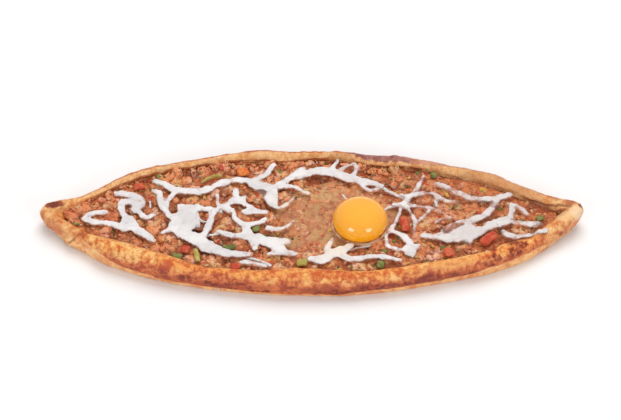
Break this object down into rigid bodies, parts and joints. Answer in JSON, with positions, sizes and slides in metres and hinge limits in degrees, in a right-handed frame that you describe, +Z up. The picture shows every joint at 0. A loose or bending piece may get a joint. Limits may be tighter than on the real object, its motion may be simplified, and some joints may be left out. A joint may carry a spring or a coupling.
{
  "type": "turkish pide",
  "caption": "Boat-shaped Turkish pide: folded, browned rim round minced meat with an egg yolk, set egg white, melted cheese strands and diced vegetables.",
  "frame": {"origin": "under the middle of the pide, on the surface that it rests on", "axes": "+X along the boat, +Y across it away from the near rim, +Z up"},
  "size_m": [0.355, 0.1204, 0.0314],
  "materials": {
    "bread": "baked dough, golden with toasted brown patches",
    "minced_meat": "cooked minced meat, a little oily",
    "egg_white": "thin set egg white, moist",
    "egg_yolk": "runny yolk under a glossy skin",
    "melted_cheese": "white melted cheese, soft sheen",
    "tomato": "cooked tomato and red pepper, moist",
    "pepper": "cooked green pepper, moist"
  },
  "bodies": {
    "root": {"crust": "bread", "filling": "minced_meat", "egg_white": "egg_white", "egg_yolk": "egg_yolk", "cheese_left": "melted_cheese", "cheese_centre": "melted_cheese", "cheese_front": "melted_cheese", "cheese_web": "melted_cheese", "cheese_right": "melted_cheese", "cheese_strand_near": "melted_cheese", "cheese_strand_white": "melted_cheese", "cheese_strand_right": "melted_cheese", "cheese_bit": "melted_cheese", "tomato_1": "tomato", "tomato_2": "tomato", "tomato_3": "tomato", "tomato_4": "tomato", "tomato_5": "tomato", "tomato_6": "tomato", "tomato_7": "tomato", "pepper_1": "pepper", "pepper_2": "pepper", "pepper_3": "pepper", "pepper_4": "pepper", "pepper_5": "pepper", "pepper_6": "pepper", "pepper_7": "pepper", "pepper_8": "pepper", "pepper_9": "pepper"}
  },
  "joints": []
}
